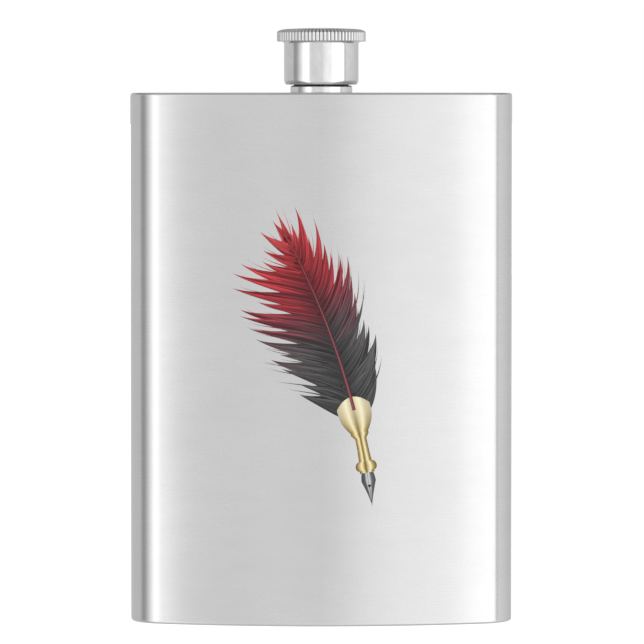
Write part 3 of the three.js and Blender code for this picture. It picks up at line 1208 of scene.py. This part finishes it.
    def make_ferrule(self, finish: bpy.types.Material) -> None:
        """Builds the brass ferrule: a plain bell cup on a waisted tube, with a bead at its foot.

        Args:
            finish: Its material.
        """
        mesh = bmesh.new()
        low = self.nib - 0.4 * MM
        length = self.ferrule + 0.4 * MM
        foot_flare = 0.45 * MM
        mouth_arch = 2.4 * MM
        # each bead's place and half length as shares of the ferrule's length, and its rise
        beads = ((0.10, 0.07, 0.95 * MM), (0.56, 0.04, 0.45 * MM))

        def outline(share: float, side: float) -> tuple[float, float]:
            """Draws the ferrule, its mouth a shallow arch.

            Args:
                share: The share of the way up.
                side: The share of the way across, -1 to 1.

            Returns:
                Along and across.
            """
            cup = max(0.0, min(1.0, (share - 0.55) / 0.36))
            bell = math.sin(cup * math.pi / 2) ** 0.9
            flare = self.stem_half + (self.ferrule_half - self.stem_half) * bell
            flare += foot_flare * max(0.0, 1 - share / 0.5) ** 2
            for place, reach, rise in beads:
                flare += rise * max(0.0, 1 - ((share - place) / reach) ** 2) ** 0.5
            mouth = mouth_arch * (1 - side**2) * share**6
            return low + length * share + mouth, side * flare

        self._film(mesh, (110, 14), outline, self._round_tones, self.ferrule_level)
        self._print("ferrule_print", mesh, finish)

    def make_nib(self, finish: bpy.types.Material, mark: bpy.types.Material) -> None:
        """Builds the pointed nib, with its slit and breather hole.

        Args:
            finish: The nib's ink.
            mark: The ink of the slit and hole.
        """
        mesh = bmesh.new()
        shoulder = 0.72  # share of the nib's length at its widest

        def outline(share: float, side: float) -> tuple[float, float]:
            """Draws the nib: a point, a shoulder and a waist.

            Args:
                share: The share of the way from the point to the ferrule.
                side: The share of the way across, -1 to 1.

            Returns:
                Along and across.
            """
            point = self.nib_half * min(1.0, share / shoulder) ** 1.3
            waist = (self.nib_half - self.stem_half) * max(0.0, (share - shoulder) / (1 - shoulder)) ** 1.4
            return self.nib * share, side * (point - waist)

        self._film(mesh, (40, 8), outline, self._round_tones)
        self._print("nib_print", mesh, finish)
        mesh = bmesh.new()
        slit = 0.06 * MM
        hole = 0.4 * MM

        def cut(share: float, side: float) -> tuple[float, float]:
            """A slit that opens into a round hole."""
            bulb = hole * max(0.0, 1 - ((share - 0.93) / 0.07) ** 2) ** 0.5
            return self.nib * (0.12 + 0.5 * share), side * max(slit, bulb)

        self._film(mesh, (48, 2), cut, self._round_tones, self.slit_level)
        self._print("nib_slit_print", mesh, mark)


# --- Studio ------------------------------------------------------------------------------------


@dataclass
class Studio:
    """A light tent round the flask, a pale self-lit floor and the camera."""

    tent_radius: float = 2.6
    tent_height: float = 2.4
    floor_radius: float = 60.0
    floor_grey: float = 0.8
    floor_glow: float = 0.8
    roof_glow: float = 0.44
    base_glow: float = 0.6
    dusk: tuple[float, float] = (0.9, 2.0)  # heights between which the wall darkens
    dusk_loss: float = 0.72  # share of its light that the wall loses there
    peak: float = 1.5  # brightness that the tent's ramp calls 1
    steps: int = 96
    aim: tuple[float, float, float] = (0.17 * MM, 0, 76.05 * MM)
    distance: float = 1.184
    elevation: float = math.radians(2.5)
    focal: float = 266.3
    # brightness of the tent by angle round it, from straight behind the camera, positive to the right
    tent: tuple[tuple[float, float], ...] = (
        (-180, 0.58), (-112, 0.60), (-98, 0.59), (-93, 0.34), (-87, 0.34),
        (-81, 0.40), (-75, 0.60), (-68, 0.84), (-60, 1.10), (-54, 1.38), (-47, 1.46), (-41, 1.45),
        (-38, 1.06), (-34, 0.80), (-22, 0.775), (-10, 0.81), (0, 0.775),
        (4, 0.81), (8, 0.94), (18, 1.06), (27, 1.09), (32.5, 1.10), (36, 1.36),
        (74, 1.36), (78, 0.52), (80.5, 0.52), (83, 0.80), (112, 0.70), (140, 0.58), (180, 0.60),
    )

    @staticmethod
    def _lit(name: str, grey: float, glow: float) -> Paint:
        """Starts a matt material that gives light.

        Args:
            name: The material's name.
            grey: How much light it scatters, 0 to 1.
            glow: The strength of its own white light.

        Returns:
            The material under construction.
        """
        return Paint(
            name,
            Base_Color=(grey, grey, grey, 1),
            Roughness=0.9,
            Specular_IOR_Level=0.0,
            Emission_Color=(1, 1, 1, 1),
            Emission_Strength=glow,
        )

    @staticmethod
    def _stage(name: str, mesh: bmesh.types.BMesh, material: bpy.types.Material) -> bpy.types.Object:
        """Makes a piece of the stage.

        Args:
            name: The piece's name.
            mesh: Its shape. It is freed.
            material: Its material.

        Returns:
            The new object.
        """
        data = bpy.data.meshes.new(name)
        mesh.to_mesh(data)
        mesh.free()
        data.materials.append(material)
        made = bpy.data.objects.new(name, data)
        bpy.context.scene.collection.objects.link(made)
        return made

    def _disc(self, name: str, radius: float, height: float, paint: Paint) -> bpy.types.Object:
        """Makes a level round sheet of the stage.

        Args:
            name: The sheet's name.
            radius: Its radius.
            height: Its height.
            paint: Its material.

        Returns:
            The new object.
        """
        mesh = bmesh.new()
        bmesh.ops.create_circle(mesh, segments=self.steps, radius=radius, cap_ends=True)
        bmesh.ops.translate(mesh, verts=mesh.verts, vec=(0, 0, height))
        return self._stage(name, mesh, paint.material)

    def make_floor(self) -> None:
        """Builds the pale floor, a lit acrylic sheet that polished steel doesn't mirror."""
        paint = self._lit("pale floor", self.floor_grey, self.floor_glow)
        floor = self._disc("floor", self.floor_radius, 0, paint)
        floor.visible_glossy = False

    def _make_wall(self) -> bpy.types.Object:
        """Builds the tent's round wall, brighter and darker by the angle round it.

        Returns:
            The wall.
        """
        paint = self._lit("tent cloth", 0, self.peak)
        split = paint.node("ShaderNodeSeparateXYZ", {}, {0: paint.place()})
        x, y, z = (Signal(paint, socket) for socket in split.socket.node.outputs)
        turn = paint.node("ShaderNodeMath", {"operation": "ARCTAN2"}, {0: x, 1: 0 - y}) / math.tau + 0.5
        stops = [((angle + 180) / 360, (value / self.peak,) * 3) for angle, value in self.tent]
        paint.feed(
            Emission_Color=paint.ramp(turn, stops),
            Emission_Strength=self.peak * (1 - z.between(*self.dusk) * self.dusk_loss),
        )
        mesh = bmesh.new()
        ring = bmesh.ops.create_circle(mesh, segments=self.steps, radius=self.tent_radius)
        edges = list({e for v in ring["verts"] for e in v.link_edges})
        bmesh.ops.translate(mesh, verts=mesh.verts, vec=(0, 0, -self.tent_height))
        made = bmesh.ops.extrude_edge_only(mesh, edges=edges)
        raised = [v for v in made["geom"] if isinstance(v, bmesh.types.BMVert)]
        bmesh.ops.translate(mesh, verts=raised, vec=(0, 0, 2 * self.tent_height))
        return self._stage("tent_wall", mesh, paint.material)

    def make_tent(self) -> None:
        """Builds the tent's wall and its darker ends, which only reflections and light see."""
        roof = self._lit("tent roof", 0, self.roof_glow)
        base = self._lit("tent base", 0, self.base_glow)
        parts = (
            self._make_wall(),
            self._disc("tent_roof", self.tent_radius, self.tent_height, roof),
            self._disc("tent_base", self.tent_radius, -self.tent_height, base),
        )
        for part in parts:
            part.visible_camera = False

    def make_world(self) -> None:
        """Sets a white surround behind the tent."""
        world = bpy.data.worlds.new("white surround")
        world.use_nodes = True
        world.node_tree.nodes["Background"].inputs["Color"].default_value = (1, 1, 1, 1)
        bpy.context.scene.world = world
        bpy.context.scene.view_settings.view_transform = "Standard"

    def make_camera(self, front: float) -> None:
        """Sets a long lens in front of the flask, a little above its middle.

        Args:
            front: The depth of the body's front face.
        """
        data = bpy.data.cameras.new("long lens")
        data.lens = self.focal
        data.clip_end = 200
        camera = bpy.data.objects.new("camera", data)
        bpy.context.scene.collection.objects.link(camera)
        aim = Vector(self.aim) + Vector((0, front, 0))
        back = Vector((0, -math.cos(self.elevation), math.sin(self.elevation)))
        camera.location = aim + back * self.distance
        camera.rotation_euler = (-back).to_track_quat("-Z", "Y").to_euler()
        bpy.context.scene.camera = camera


def main() -> None:
    """Builds the studio and every piece."""
    logging.basicConfig(level=logging.INFO, format="%(name)s: %(message)s")
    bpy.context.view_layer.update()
    kidney = Kidney()
    studio = Studio()
    studio.make_camera(kidney.front_y)
    studio.make_world()
    studio.make_floor()
    studio.make_tent()

    spout = Spout()
    axis = (spout.axis.x, spout.axis.y)
    brushed = BrushedSteel("brushed steel").make()
    plate = BrushedSteel("plate steel", roughness=0.3, anisotropy=0.3).make()
    polished = TurnedSteel("turned steel", axis).make()

    body = FlaskBody(kidney)
    body.make_wrap(brushed)
    body.make_top_plate(spout.axis, plate)
    body.make_bottom_plate(plate)
    body.make_weld(plate)

    spout.make(polished)
    cap = ScrewCap(spout)
    cap.make_shell(polished)
    cap.make_insert(Moulded("moulded cup", (0.72, 0.71, 0.67), (0.64, 0.63, 0.59), 0.38, 0.2).make())
    cap.make_seal(Moulded("silicone", (0.78, 0.77, 0.73), (0.7, 0.69, 0.65), 0.42, 0.3).make())

    quill = QuillPrint(kidney)
    quill.make_plume(PlumeInk("plume ink").make(), PlumeInk("barb ink", glow=1.5).make())
    quill.make_shaft(BandedInk("shaft ink", (
        (0.0, (0.02, 0.004, 0.006)), (0.4, (0.36, 0.09, 0.11)), (0.6, (0.26, 0.04, 0.055)),
        (1.0, (0.02, 0.004, 0.006)),
    )).make())
    quill.make_ferrule(BandedInk("brass ink", (
        (0.0, (0.13, 0.075, 0.012)), (0.14, (0.46, 0.31, 0.07)), (0.30, (0.95, 0.87, 0.55)),
        (0.40, (0.50, 0.36, 0.09)), (0.48, (0.15, 0.09, 0.018)), (0.56, (0.56, 0.41, 0.12)),
        (0.70, (0.97, 0.90, 0.60)), (0.84, (0.44, 0.30, 0.07)), (1.0, (0.12, 0.07, 0.012)),
    ), mouth=(0.97, 0.92, 0.70)).make())
    quill.make_nib(
        BandedInk("nib ink", (
            (0.0, (0.04, 0.042, 0.046)), (0.26, (0.10, 0.105, 0.11)), (0.40, (0.66, 0.67, 0.69)),
            (0.48, (0.30, 0.31, 0.32)), (0.56, (0.72, 0.72, 0.74)), (0.72, (0.13, 0.135, 0.14)),
            (1.0, (0.045, 0.047, 0.05)),
        )).make(),
        BandedInk("slit ink", ((0.0, (0.01, 0.01, 0.012)), (1.0, (0.01, 0.01, 0.012)))).make(),
    )


if __name__ == "__main__":
    main()
